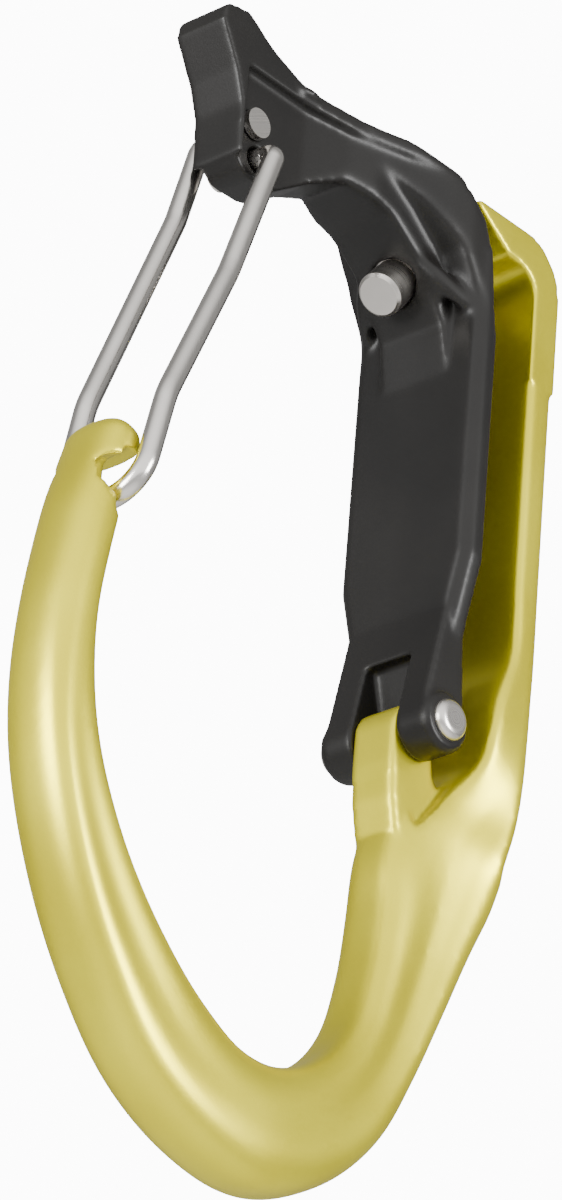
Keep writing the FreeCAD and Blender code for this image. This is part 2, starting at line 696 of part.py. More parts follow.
def rod(path, diameter):
    """A round rod along a path, checked against its length times its section."""
    start = path.Edges[0]
    way = start.tangentAt(start.FirstParameter)
    ring = Part.Wire([Part.Circle(start.valueAt(start.FirstParameter), way, diameter / 2).toShape()])
    shape = path.makePipeShell([ring], True, False, 2)
    solid = Part.makeSolid(shape) if shape.ShapeType == "Shell" else shape
    expected = path.Length * math.pi * diameter**2 / 4
    if abs(abs(solid.Volume) / expected - 1) > 0.01:
        raise RuntimeError(f"rod volume {solid.Volume:.2f}, expected {expected:.2f}")
    return solid


def upper_hole():
    """Where the upper gate hole is, across and up."""
    lean = math.radians(size.gate_hole_lean)
    return (-size.gate_hole_x - size.gate_hole_gap * math.sin(lean),
            size.gate_hole_z + size.gate_hole_gap * math.cos(lean))


def make_wire_gate():
    """The gate's two legs and the loop that joins them, from cheek to cheek."""
    cheek = size.head_width / 2 + size.wire_end_gap
    elbow = cheek + size.elbow_radius
    loop_x = -size.neck_inner + size.loop_gap + size.wire_diameter / 2
    low_x, low_z = -size.gate_hole_x, size.gate_hole_z
    up_x, up_z = upper_hole()
    points = [
        FreeCAD.Vector(low_x, -cheek, low_z),
        FreeCAD.Vector(low_x, -elbow, low_z),
        FreeCAD.Vector(low_x - 5.5, -elbow - 0.2, low_z - 17.2),
        FreeCAD.Vector(low_x - 13.0, -size.leg_spread + 0.1, low_z - 35.2),
        FreeCAD.Vector(loop_x, -size.leg_spread, size.loop_height),
        FreeCAD.Vector(loop_x, size.leg_spread, size.loop_height),
        FreeCAD.Vector(low_x - 13.2, size.leg_spread - 0.1, low_z - 33.2),
        FreeCAD.Vector(up_x - 2.6, elbow + 0.1, up_z - 10.4),
        FreeCAD.Vector(up_x, elbow, up_z),
        FreeCAD.Vector(up_x, cheek, up_z),
    ]
    radii = [size.elbow_radius, 24, 14, 4, 4, 14, 12, size.elbow_radius]
    return placed("wire_gate", rod(bent_path(points, radii), size.wire_diameter))


def make_wire_ends():
    """The gate wire's two ends, which lie in the arm's holes and are swaged at the far cheek."""
    cheek = size.head_width / 2 + size.wire_end_gap
    web = size.head_web / 2 + size.wire_end_gap
    along_y = FreeCAD.Vector(0, 1, 0)
    ends = []
    for (x, z), way in (((-size.gate_hole_x, size.gate_hole_z), 1), (upper_hole(), -1)):
        start = FreeCAD.Vector(x, -way * cheek, z)
        seat = FreeCAD.Vector(x, way * web, z)
        wire = Part.makeCylinder(size.wire_diameter / 2, cheek + web, start, along_y * way)
        swage = Part.makeCylinder(size.swage_diameter / 2, size.swage_thick, seat, along_y * way)
        ends.append(wire.fuse(swage).removeSplitter().Solids[0])
    return placed("gate_wire_ends", Part.makeCompound(ends))


def make_spring():
    """The coil between the stud's collar and the bush."""
    radius = (size.collar_diameter - size.spring_wire) / 2 - 0.3
    height = size.spring_room - size.spring_wire - 0.1
    path = Part.makeHelix(height / 3, height, radius)
    edge = path.Edges[0]
    way = edge.tangentAt(edge.FirstParameter)
    ring = Part.Wire([Part.Circle(edge.valueAt(edge.FirstParameter), way, size.spring_wire / 2).toShape()])
    coil = Part.Wire(path.Edges).makePipeShell([ring], True, True)
    angle = math.radians(size.lock_angle)
    way = FreeCAD.Vector(math.cos(angle), 0, math.sin(angle))
    along = size.collar_start + size.collar_thick + size.spring_wire / 2 + 0.05
    start = FreeCAD.Vector(-size.lock_x, 0, size.lock_z) + way * along
    coil.Placement = FreeCAD.Placement(start, FreeCAD.Rotation(FreeCAD.Vector(0, 0, 1), way))
    return placed("lock_spring", Part.makeCompound([coil]))


# ---------------------------------------------------------------- build, check and write
pieces = [
    make_hook(),
    make_arm(),
    make_hinge_pin(),
    make_lock_pin(),
    make_catch_pin(),
    make_bush(),
    make_spring(),
    make_wire_gate(),
    make_wire_ends(),
]
doc.recompute()
failed = [obj.Name for obj in doc.Objects if "Invalid" in obj.State or "Error" in obj.State]
if failed:
    raise RuntimeError(f"failed objects: {failed}")
for piece in pieces:
    if piece.Shape.isNull() or not piece.Shape.isValid():
        raise RuntimeError(f"{piece.Label} has no valid shape")
    print(piece.Label, "solids", len(piece.Shape.Solids), "volume", round(piece.Shape.Volume, 2))
    piece.Shape.exportStep(f"parts/{piece.Label}.step")
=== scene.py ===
# %% [markdown]
# # A locking wire-gate snap hook
#
# This lesson builds the looks of a climbing hook around its machined model. The hook is a forged
# aluminium body with a slot for webbing. A black forged arm closes the slot and carries a steel
# wire gate. A sprung stud keeps the arm shut. The machined model says where every piece is and how
# it moves, and this script gives each piece its real surface.

# %% Load the machined model
import json
import math

import bmesh
import bpy
import numpy as np
from mathutils import Matrix, Vector


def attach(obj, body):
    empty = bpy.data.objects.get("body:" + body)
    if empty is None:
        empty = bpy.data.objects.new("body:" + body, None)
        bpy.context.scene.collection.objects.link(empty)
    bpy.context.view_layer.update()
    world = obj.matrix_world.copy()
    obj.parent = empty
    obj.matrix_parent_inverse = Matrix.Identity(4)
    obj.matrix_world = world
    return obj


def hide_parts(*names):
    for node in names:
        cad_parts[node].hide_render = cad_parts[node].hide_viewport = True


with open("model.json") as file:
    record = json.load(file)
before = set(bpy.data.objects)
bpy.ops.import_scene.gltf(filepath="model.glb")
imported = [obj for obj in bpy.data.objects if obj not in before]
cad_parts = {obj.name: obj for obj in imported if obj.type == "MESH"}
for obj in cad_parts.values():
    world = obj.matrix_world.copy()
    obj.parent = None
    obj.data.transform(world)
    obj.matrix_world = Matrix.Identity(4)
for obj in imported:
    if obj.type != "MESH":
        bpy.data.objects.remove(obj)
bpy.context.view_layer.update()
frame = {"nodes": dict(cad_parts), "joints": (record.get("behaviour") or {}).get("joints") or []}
joints = {joint["name"]: joint for joint in frame["joints"]}
hinge = Vector(joints["arm_swing"]["pos_m"])
MM = 0.001
print("pieces in the machined model:", sorted(frame["nodes"]))


# %% [markdown]
# ## Places are counted from the hinge
#
# The arm turns on a rivet, and every size of the hook is easiest to give from that rivet's middle.
# So one small function turns millimetres from the hinge into the scene's metres. X points out
# through the spine, Y across the hook and Z up along the spine.

# %% Measure from the hinge
def at(x, y, z):
    """The point that lies x, y and z millimetres from the middle of the hinge rivet."""
    return hinge + Vector((x, y, z)) * MM


print("hinge rivet at", tuple(round(value, 4) for value in hinge))

# %% [markdown]
# ## The camera
#
# The hook is seen from its near side, a little from below. A long lens keeps its sides parallel.
# The camera's turn is given by two directions: the one that points back at the viewer, and the one
# that is up in the picture. The third one is square to both.

# %% Place the camera
BACK = Vector((-0.63554, -0.60316, -0.48196))
UP = Vector((-0.40493, -0.27111, 0.87323))
DISTANCE = 0.6
LENS = 180
SENSOR = 36
LOOK_AT = at(-18.14, 0, 7.70)


def place_camera():
    """A long-lens camera that looks at the middle of the hook."""
    camera = bpy.data.cameras.new("camera")
    camera.lens = LENS
    camera.sensor_width = SENSOR
    camera.clip_start = 0.01
    camera.clip_end = 20
    holder = bpy.data.objects.new("camera", camera)
    right = UP.cross(BACK).normalized()
    turn = Matrix((right, UP.normalized(), BACK.normalized())).transposed().to_4x4()
    holder.matrix_world = Matrix.Translation(LOOK_AT + BACK.normalized() * DISTANCE) @ turn
    bpy.context.scene.collection.objects.link(holder)
    bpy.context.scene.camera = holder
    return holder


camera = place_camera()
print("camera at", tuple(round(value, 3) for value in camera.matrix_world.translation))

# %% [markdown]
# ## Shader maths as plain expressions
#
# A finish is a graph of small nodes, and its numbers are easier to read as sums than as wires. The
# class below wraps one socket. Adding or multiplying two of them adds a Math node to the graph, so
# `gloss + cloud * 0.06` reads as it is written. Any other node comes from `node`, which sets the node's
# own settings first and its inputs after that.


# %% Write shader maths as sums
class Field:
    """A number or vector that changes over a surface."""

    def __init__(self, board, socket):
        self.board = board
        self.socket = socket

    def maths(self, operation, other):
        return self.board.node("ShaderNodeMath", {"operation": operation}, self, other)

    def __add__(self, other):
        return self.maths("ADD", other)

    def __sub__(self, other):
        return self.maths("SUBTRACT", other)

    def __mul__(self, other):
        return self.maths("MULTIPLY", other)

    __radd__ = __add__

    def between(self, low, high):
        """0 below low, 1 above high and a smooth step from one to the other."""
        settings = {"interpolation_type": "SMOOTHSTEP"}
        return self.board.node("ShaderNodeMapRange", settings, self, low, high)


class Board:
    """The node graph of one finish."""

    def __init__(self, name):
        self.material = bpy.data.materials.new(name)
        self.material.use_nodes = True
        self.tree = self.material.node_tree
        self.shader = self.tree.nodes["Principled BSDF"]
        self.place = self.node("ShaderNodeTexCoord", {}, output="Object")

    def node(self, kind, settings, *inputs, output=0, **named):
        made = self.tree.nodes.new(kind)
        for key, value in settings.items():
            setattr(made, key, value)
        for key, value in list(enumerate(inputs)) + list(named.items()):
            self.join(made.inputs[key.replace("_", " ") if isinstance(key, str) else key], value)
        return Field(self, made.outputs[output])

    def join(self, socket, value):
        if isinstance(value, Field):
            self.tree.links.new(value.socket, socket)
        elif value is not None:
            socket.default_value = value

    def noise(self, scale, detail, place=None):
        """A cloudy pattern with so many patches in a metre."""
        return self.node("ShaderNodeTexNoise", {}, place or self.place, Scale=scale, Detail=detail)

    def mix(self, factor, first, second):
        """The second colour where factor is 1 and the first where it is 0."""
        made = self.tree.nodes.new("ShaderNodeMix")
        made.data_type = "RGBA"
        self.join(made.inputs[0], factor)
        self.join(made.inputs[6], (*first, 1) if isinstance(first, tuple) else first)
        self.join(made.inputs[7], (*second, 1) if isinstance(second, tuple) else second)
        return Field(self, made.outputs[2])

    def vector(self, operation, *inputs, output=0):
        return self.node("ShaderNodeVectorMath", {"operation": operation}, *inputs, output=output)

    def relief(self, height, depth):
        """A bump of so many metres for each unit of height."""
        bump = self.node("ShaderNodeBump", {}, Strength=1.0, Distance=depth, Height=height)
        self.set("Normal", bump)

    def set(self, name, value):
        self.join(self.shader.inputs[name], value)


# %% [markdown]
# ## Three finishes
#
# The body is bead-blasted and anodised: a yellow-green dye on metal, with a soft, even gloss. It is
# mostly metal, and a fine grain in its bump spreads the highlights. The dye is a little deeper in
# some places. The arm has a duller black coat over the same kind of blasted surface. The steel
# pieces are drawn wire and turned pins, so their marks run along the wire and round the pins.

# %% Mix the finishes
GRAIN_SCALE = 5200.0  # patches in a metre
CLOUD_SCALE = 70.0
PATCH_SCALE = 160.0
ACROSS_WIRE = 9000.0
UP_WIRE = 260.0
ROUND_PIN = 7000.0
MARK_DEPTH = 0.000004  # in metres


def anodised(name, deep, pale, gloss, metal, shine, grain_depth):
    """Dyed, blasted aluminium with a fine grain and slow clouds in its dye."""
    board = Board(name)
    grain = board.noise(GRAIN_SCALE, 3.0)
    cloud = board.noise(CLOUD_SCALE, 2.0)
    speck = grain.between(0.35, 0.75)
    board.set("Base Color", board.mix(cloud.between(0.3, 0.7) * 0.6 + speck * 0.15, deep, pale))
    board.set("Roughness", gloss + (cloud - 0.5) * 0.06 + (speck - 0.5) * 0.05)
    board.set("Metallic", metal)
    board.set("Specular IOR Level", shine)
    board.relief(grain, grain_depth)
    return board.material


def drawn_steel(name, colour, gloss, marks):
    """Bright steel with faint marks; marks gives the vector that they are counted along."""
    board = Board(name)
    streak = board.noise(1.0, 2.0, marks(board))
    patch = board.noise(PATCH_SCALE, 3.0)
    dull = tuple(value * 0.86 for value in colour)
    board.set("Base Color", board.mix(patch.between(0.35, 0.7) * 0.6, colour, dull))
    board.set("Roughness", gloss + (streak - 0.5) * 0.16 + (patch - 0.5) * 0.06)
    board.set("Metallic", 1.0)
    board.relief(streak, MARK_DEPTH)
    return board.material


def along_wire(board):
    """Marks that run up the wire's legs."""
    return board.vector("MULTIPLY", board.place, (ACROSS_WIRE, ACROSS_WIRE, UP_WIRE))


def round_pin(middle, axis):
    """Marks that run round a turned pin's axis."""
    def marks(board):
        arm = board.vector("SUBTRACT", board.place, tuple(middle))
        height = board.vector("DOT_PRODUCT", arm, tuple(axis), output="Value")
        out = board.vector("LENGTH", board.vector("CROSS_PRODUCT", arm, tuple(axis)), output="Value")
        return board.node("ShaderNodeCombineXYZ", {}, out * ROUND_PIN, height * ROUND_PIN, 0.0)
    return marks


LIME_DEEP, LIME_PALE = (0.74, 0.64, 0.018), (0.86, 0.77, 0.035)
BLACK_DEEP, BLACK_PALE = (0.006, 0.0055, 0.005), (0.011, 0.010, 0.009)
lime = anodised("anodised_lime", LIME_DEEP, LIME_PALE, 0.36, 0.8, 0.5, 0.000006)
black = anodised("anodised_black", BLACK_DEEP, BLACK_PALE, 0.40, 0.0, 0.32, 0.000008)
STEEL = (0.72, 0.69, 0.65)
STUD_STEEL = (0.60, 0.57, 0.53)
STUD_PLACE = at(-5.1, 0, 51.7)
wire_steel = drawn_steel("wire_steel", STEEL, 0.22, along_wire)
rivet_steel = drawn_steel("rivet_steel", STEEL, 0.28, round_pin(hinge, (0, 1, 0)))
lock_axis = Vector(joints["lock_press"]["axis"])
stud_steel = drawn_steel("stud_steel", STUD_STEEL, 0.30, round_pin(STUD_PLACE, lock_axis))
print("finishes:", [material.name for material in (lime, black, wire_steel, rivet_steel, stud_steel)])

# %% [markdown]
# ## Solids in millimetres
#
# A forging has no sharp inner corners: metal flows round them. Here a forged piece starts as a few
# closed solids that overlap. Some are copies of machined shapes, and some are outlines pulled
# across the hook. The work is done in millimetres and scaled to metres at the end, because the
# remesh that comes later works best on shapes of a hundred units and not of a tenth.

# %% Make solids
CUT_HALF = 9  # half the reach of a cut that goes through everything


def mesh_of(vertices, faces):
    """A mesh from points in millimetres and faces."""
    mesh = bpy.data.meshes.new("solid")
    mesh.from_pydata([tuple(point) for point in vertices], [], faces)
    bm = bmesh.new()
    bm.from_mesh(mesh)
    bmesh.ops.remove_doubles(bm, verts=bm.verts, dist=0.001)
    bmesh.ops.recalc_face_normals(bm, faces=bm.faces)
    bm.to_mesh(mesh)
    bm.free()
    return mesh


def machined_part(node, keep_above=None):
    """A node's own shape in millimetres from the hinge, or only what lies above a height."""
    bm = bmesh.new()
    bm.from_mesh(frame["nodes"][node].data)
    bmesh.ops.remove_doubles(bm, verts=bm.verts, dist=1e-7)
    scale = Matrix.Scale(1 / MM, 4) @ Matrix.Translation(-hinge)
    bmesh.ops.transform(bm, matrix=scale, verts=bm.verts)
    if keep_above is not None:
        everything = bm.verts[:] + bm.edges[:] + bm.faces[:]
        cut = bmesh.ops.bisect_plane(bm, geom=everything, plane_co=(0, 0, keep_above), plane_no=(0, 0, 1),
                                     clear_inner=True)
        rim = [edge for edge in cut["geom_cut"] if isinstance(edge, bmesh.types.BMEdge)]
        bmesh.ops.holes_fill(bm, edges=rim)
    mesh = bpy.data.meshes.new(node)
    bm.to_mesh(mesh)
    bm.free()
    return mesh


def slab(outline, low, high):
    """A solid from an outline of (x, z) points that runs from y = low to y = high."""
    count = len(outline)
    vertices = [(x, y, z) for y in (low, high) for x, z in outline]
    sides = [(i, (i + 1) % count, count + (i + 1) % count, count + i) for i in range(count)]
    faces = sides + [tuple(range(count)), tuple(range(2 * count - 1, count - 1, -1))]
    return mesh_of(vertices, faces)


def disc(x, z, radius, sides=48):
    """The outline of a circle."""
    turns = [2 * math.pi * i / sides for i in range(sides)]
    return [(x + radius * math.cos(turn), z + radius * math.sin(turn)) for turn in turns]


# %% [markdown]
# ## Cutting
#
# Holes, notches and pockets are cut with solids of their own. An exact boolean keeps the cut's
# edges crisp, and the later remesh is what rounds them.

# %% Cut tools out of a mesh
def carve(mesh, tools):
    """Cuts the tools out of a mesh."""
    body = bpy.data.objects.new("body", mesh)
    bpy.context.scene.collection.objects.link(body)
    cutters = []
    for tool in tools:
        cutter = bpy.data.objects.new("cutter", tool)
        bpy.context.scene.collection.objects.link(cutter)
        cutters.append(cutter)
        cut = body.modifiers.new("cut", "BOOLEAN")
        cut.operation = "DIFFERENCE"
        cut.solver = "EXACT"
        cut.object = cutter
    bpy.context.view_layer.update()
    result = bpy.data.meshes.new_from_object(body.evaluated_get(bpy.context.evaluated_depsgraph_get()))
    for item in [body] + cutters:
        bpy.data.objects.remove(item)
    return result


# %% [markdown]
# ## Forging
#
# A voxel remesh turns the solids into one skin, and a few smoothing passes round its corners. Where
# a forging flows from one thickness into another, the corners have to melt away altogether. So
# chosen places can have many more passes, and these fade out towards the edge of the place.

# %% Turn solids into a forged skin
def melt_weights(mesh, places):
    """1 in the middle of each (x, y, z, reach) place and 0 beyond its reach, on both sides."""
    spots = np.empty(len(mesh.vertices) * 3)
    mesh.vertices.foreach_get("co", spots)
    spots = spots.reshape(-1, 3)
    folded = spots.copy()
    folded[:, 1] = np.abs(spots[:, 1])
    weights = np.zeros(len(spots))
    for x, y, z, reach in places:
        apart = np.linalg.norm(folded - (x, y, z), axis=1)
        weights = np.maximum(weights, np.clip(1.5 - 1.5 * apart / reach, 0, 1))
    return weights


def forge(name, solids, voxel, passes, material, melted=(), melt_passes=0):
    """One smooth skin over closed solids that overlap, as an object in metres."""
    bm = bmesh.new()
    for solid in solids:
        bm.from_mesh(solid)
    joined = bpy.data.meshes.new(name)
    bm.to_mesh(joined)
    bm.free()
    piece = bpy.data.objects.new(name, joined)
    bpy.context.scene.collection.objects.link(piece)
    skin = piece.modifiers.new("skin", "REMESH")
    skin.mode = "VOXEL"
    skin.voxel_size = voxel
    bpy.context.view_layer.update()
    skinned = bpy.data.meshes.new_from_object(piece.evaluated_get(bpy.context.evaluated_depsgraph_get()))
    piece.modifiers.clear()
    piece.data = skinned
    if melted:
        group = piece.vertex_groups.new(name="melted")
        for index, weight in enumerate(melt_weights(skinned, melted)):
            if weight > 0:
                group.add([index], float(weight), "REPLACE")
        melt = piece.modifiers.new("melt", "SMOOTH")
        melt.factor = 0.5
        melt.iterations = melt_passes
        melt.vertex_group = group.name
    relax = piece.modifiers.new("relax", "SMOOTH")
    relax.factor = 0.5
    relax.iterations = passes
    bpy.context.view_layer.update()
    mesh = bpy.data.meshes.new_from_object(piece.evaluated_get(bpy.context.evaluated_depsgraph_get()))
    mesh.transform(Matrix.Translation(hinge) @ Matrix.Scale(MM, 4))
    piece.modifiers.clear()
    piece.data = mesh
    mesh.name = name
    mesh.shade_smooth()
    mesh.materials.clear()
    mesh.materials.append(material)
    print(name, len(mesh.polygons), "faces, size in mm", [round(side / MM, 1) for side in piece.dimensions])
    return piece


# %% [markdown]
# ## The body: one bar with a changing section
#
# The real body starts as a round bar that is bent and then forged between dies. So the model is a
# loft too: a line down the middle of the bar, and a section at each station along it. A section is
# a superellipse, a shape between an ellipse and a rectangle. Its two exponents say how square the
# inner and the outer side are. Shallow scoops in the bar's flanks leave a thicker rim on each side,
# where a forging saves weight. Below the hinge the bar also tapers: its inner side is narrow, to
# meet the lug, and its outer side is as wide as the spine.

# %% List the stations of the bar
# middle x and z, thickness, width, squareness inside and outside, depth of the scoop, taper
STATIONS = (
    (-44.8, 14.8, 4.4, 8.2, 3.4, 2.6, 0.0, 0.0),
    (-45.5, 11.8, 4.9, 8.4, 3.4, 2.5, 0.0, 0.0),
    (-46.3, 8.6, 5.2, 8.4, 3.4, 2.5, 0.0, 0.0),
    (-47.3, 4.4, 5.4, 8.3, 3.4, 2.5, 0.0, 0.0),
    (-48.05, 0.0, 5.5, 8.3, 3.2, 2.5, 0.0, 0.0),
    (-49.05, -8.0, 5.8, 8.2, 3.2, 2.4, 0.0, 0.0),
    (-49.05, -13.5, 6.1, 8.3, 3.4, 2.6, 0.05, 0.0),
    (-48.1, -20.5, 6.6, 8.5, 3.8, 2.8, 0.2, 0.0),
    (-43.95, -30.9, 7.9, 8.8, 4.2, 3.0, 0.4, 0.0),
    (-37.5, -39.9, 10.0, 9.0, 4.2, 3.0, 0.45, 0.0),
    (-30.1, -46.4, 12.2, 9.0, 3.6, 2.8, 0.3, 0.0),
    (-23.3, -49.3, 12.7, 9.0, 3.0, 2.6, 0.1, 0.0),
    (-17.2, -49.8, 13.0, 9.0, 3.0, 2.6, 0.05, 0.0),
    (-10.7, -47.4, 12.0, 9.0, 3.2, 2.8, 0.25, 0.05),
    (-5.1, -42.7, 10.7, 9.2, 3.6, 3.0, 0.55, 0.14),
    (-1.0, -36.0, 9.4, 9.6, 3.8, 3.2, 0.7, 0.22),
    (1.6, -28.6, 10.3, 10.4, 4.2, 3.4, 0.8, 0.30),
    (3.6, -20.6, 12.4, 11.8, 4.6, 3.6, 0.8, 0.38),
    (4.7, -15.0, 14.2, 13.6, 5.0, 4.0, 0.6, 0.52),
    (5.7, -10.5, 13.4, 15.4, 5.0, 4.4, 0.35, 0.60),
    (8.0, -6.8, 9.2, 16.0, 5.0, 5.0, 0.15, 0.42),
    (9.2, -2.5, 6.7, 16.0, 8.0, 6.0, 0.0, 0.12),
    (9.4, 2.1, 6.2, 16.0, 9.0, 7.0, 0.0, 0.0),
    (9.8, 6.3, 5.4, 16.0, 9.0, 8.0, 0.0, 0.0),
    (10.5, 10.5, 4.0, 16.0, 9.0, 8.0, 0.0, 0.0),
    (10.55, 20.0, 3.9, 16.0, 9.0, 8.0, 0.0, 0.0),
    (10.55, 33.0, 3.9, 16.0, 9.0, 8.0, 0.0, 0.0),
    (10.55, 46.5, 3.9, 16.0, 9.0, 8.0, 0.0, 0.0),
)
RINGS = 320
AROUND = 72
EVEN_OUT = 5


def smooth_stations(rows, count, passes):
    """The stations spread into many, on a smooth line through them."""
    rows = np.array(rows)
    gaps = np.linalg.norm(np.diff(rows[:, :2], axis=0), axis=1)
    along = np.concatenate(([0], np.cumsum(gaps)))
    slope = np.gradient(rows, along, axis=0)
    steps = np.linspace(0, along[-1], count)
    span = np.clip(np.searchsorted(along, steps, side="right") - 1, 0, len(along) - 2)
    gap = (along[span + 1] - along[span])[:, None]
    part = (steps[:, None] - along[span][:, None]) / gap
    start, end = rows[span], rows[span + 1]
    leave, reach = slope[span] * gap, slope[span + 1] * gap
    fine = ((2 * part**3 - 3 * part**2 + 1) * start + (part**3 - 2 * part**2 + part) * leave
            + (3 * part**2 - 2 * part**3) * end + (part**3 - part**2) * reach)
    for _ in range(passes):
        fine[1:-1] = 0.25 * fine[:-2] + 0.5 * fine[1:-1] + 0.25 * fine[2:]
    return steps, fine


steps, bar = smooth_stations(STATIONS, RINGS, EVEN_OUT)
print("the bar is", round(float(steps[-1])), "mm long")

# %% [markdown]
# ## The loft itself
#
# Each ring of points is a superellipse, set square to the bar's line. Near the nose the rings
# shrink along a quarter circle, which closes the end with a dome.

# %% Loft the bar
NOSE_ROUND = 2.4
SCOOP_MIDDLE = -0.1  # from -1 at the bar's outer side to 1 at its inner side
SCOOP_REACH = 0.45


def bar_ring(step, row, tangent):
    """The points round the bar at one place."""
    x, z, thick, wide, square_in, square_out, scoop, taper = row
    inward = (-tangent[1], tangent[0])
    reach = min(step / NOSE_ROUND, 1.0)
    shrink = math.sqrt(max(1 - (1 - reach) ** 2, 0.0))
    ring = []
    for i in range(AROUND):
        turn = 2 * math.pi * i / AROUND
        power = 2 / (square_in if math.cos(turn) > 0 else square_out)
        across = math.copysign(abs(math.cos(turn)) ** power, math.cos(turn))
        side = math.copysign(abs(math.sin(turn)) ** power, math.sin(turn))
        hollow = scoop * math.exp(-((across - SCOOP_MIDDLE) / SCOOP_REACH) ** 2) * side
        narrow = 1 - taper * (across + 1) / 2
        depth = across * thick / 2 * shrink
        y = (side * narrow * wide / 2 - hollow) * shrink
        ring.append((x + inward[0] * depth, y, z + inward[1] * depth))
    return ring


def loft_bar():
    """The whole bar, closed at both ends."""
    tangents = np.gradient(bar[:, :2], axis=0)
    tangents /= np.linalg.norm(tangents, axis=1)[:, None]
    vertices = []
    for step, row, tangent in zip(steps[1:], bar[1:], tangents[1:]):
        vertices += bar_ring(step, row, tangent)
    rings = len(vertices) // AROUND
    faces = [tuple(range(AROUND))[::-1], tuple(range((rings - 1) * AROUND, rings * AROUND))]
    for ring in range(rings - 1):
        for i in range(AROUND):
            j = (i + 1) % AROUND
            base = ring * AROUND
            faces.append((base + i, base + j, base + AROUND + j, base + AROUND + i))
    return mesh_of(vertices, faces)


bar_mesh = loft_bar()
print("bar:", len(bar_mesh.polygons), "faces")

# %% [markdown]
# ## The nose and the hinge lug
#
# The gate's loop drops over the nose, and a pull along the hook must not open it. So the nose has a
# T-shaped head, a narrow neck below it and a pocket in each side for the wire's elbows. These are
# cut out of the bar. The lug that the arm turns on is a flat tongue at the other end. Beside it the
# slot for the webbing runs down to the point where the bar's flank meets the lug. The flange above
# the slot keeps the machined shape, because the lock has to fit it.

# %% Cut the neck and add the lug
PIN_HOLE = 1.55
LUG_HALF = 2.85
LUG_RADIUS = 3
NECK_HALF = 1.9
FLANGE_FROM = 44.0
LUG_SIDES = [(-3.0, -4.0), (-2.7, -8.0), (-1.9, -11.5), (0.6, -15.0), (5.0, -12.0), (4.4, -7.0),
             (3.3, -3.0)]
SLOT_BOTTOM = [(0.6, -10.6), (2.8, -7.6), (4.4, -5.0), (5.6, -2.4), (6.3, 0.2), (6.9, 5.2), (8.6, 12.0),
               (8.6, 14.0), (-6.0, 14.0), (-6.0, -3.0), (-2.4, -4.4), (-1.2, -6.8)]


def rounded_box(x0, x1, z0, z1, radius):
    """The outline of a rectangle with round corners."""
    corners = ((x1 - radius, z1 - radius, 0), (x0 + radius, z1 - radius, 90),
               (x0 + radius, z0 + radius, 180), (x1 - radius, z0 + radius, 270))
    outline = []
    for x, z, start in corners:
        for i in range(7):
            turn = math.radians(start + 15 * i)
            outline.append((x + radius * math.cos(turn), z + radius * math.sin(turn)))
    return outline


def beside(outline, half):
    """Two solids from an outline, one on each side, from y = half outwards."""
    return [slab(outline, -CUT_HALF, -half), slab(outline, half, CUT_HALF)]


neck_notch = slab(rounded_box(-46.3, -40.0, 3.2, 10.8, 1.2), -CUT_HALF, CUT_HALF)
pockets = beside(disc(-46.5, 7.4, 2.1), NECK_HALF)
floors = beside(SLOT_BOTTOM, LUG_HALF)
turns = [math.radians(turn) for turn in range(0, 181, 10)]
lug_top = [(LUG_RADIUS * math.cos(turn), LUG_RADIUS * math.sin(turn)) for turn in turns]
pin_hole = slab(disc(0, 0, PIN_HOLE), -CUT_HALF, CUT_HALF)
lug = carve(slab(lug_top + LUG_SIDES, -LUG_HALF, LUG_HALF), [pin_hole])
nosed_bar = carve(bar_mesh, [neck_notch] + pockets + floors)
flange = machined_part("hook_body", keep_above=FLANGE_FROM)
hook = forge("hook", [nosed_bar, lug, flange], 0.32, 9, lime)
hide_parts("hook_body")
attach(hook, "hook")

# %% [markdown]
# ## The arm
#
# The arm is forged too, but its shape comes from flat faces: a plate, a fork and a head with a
# recess in each side. The machined model already has these, so a copy of it goes through the same
# remesh, which rounds every edge as the blasting does. Three low swellings on top give grip, and a
# rib on each side runs from the lock stud to the plate's edge. The shoulder is melted, because
# there the wide plate flows into the narrow beam without a corner.

# %% Forge the arm
def bump(middle, size, way=(1, 0, 0)):
    """A round swelling with three half sizes, the first of them along a direction."""
    bm = bmesh.new()
    bmesh.ops.create_uvsphere(bm, u_segments=24, v_segments=16, radius=1.0)
    turn = Vector(way).to_track_quat("X", "Z").to_matrix().to_4x4()
    matrix = Matrix.Translation(middle) @ turn @ Matrix.Diagonal((*size, 1))
    bmesh.ops.transform(bm, matrix=matrix, verts=bm.verts)
    mesh = bpy.data.meshes.new("bump")
    bm.to_mesh(mesh)
    bm.free()
    return mesh


GRIP_PLACES = (-23.6, -16.5, -9.7)
GRIP_SIZE = (3.4, 4.2, 1.2)
RIB_SIZE = (5.0, 1.1, 1.2)
# x, y, z and reach of the places that melt
SHOULDER = ((-7.0, 7.0, 56.0, 9.0), (-14.0, 5.5, 56.5, 8.0), (-2.0, 8.0, 50.5, 6.0))
grips = [bump((x, 0, 64.0), GRIP_SIZE) for x in GRIP_PLACES]
ribs = [bump((-3.6, 5.0 * side, 51.4), RIB_SIZE, (6.8, 4.8 * side, -6.6)) for side in (-1, 1)]
arm = forge("arm", [machined_part("clip_arm")] + grips + ribs, 0.26, 12, black, SHOULDER, 60)
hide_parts("clip_arm")
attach(arm, "arm")

# %% [markdown]
# ## The gate wire: a path with round bends
#
# The gate is one steel wire. It could be drawn as a smooth curve, but a real one is straight
# between bends that are each made round a pin of their own size. So the path is a chain of points,
# and each point carries the radius of its bend. A small tree of geometry nodes rounds the bends,
# sweeps a circle along the path and closes the ends.

# %% Bend the wire
WIRE = 2.3
BEND_STEPS = 14
WIRE_SIDES = 32
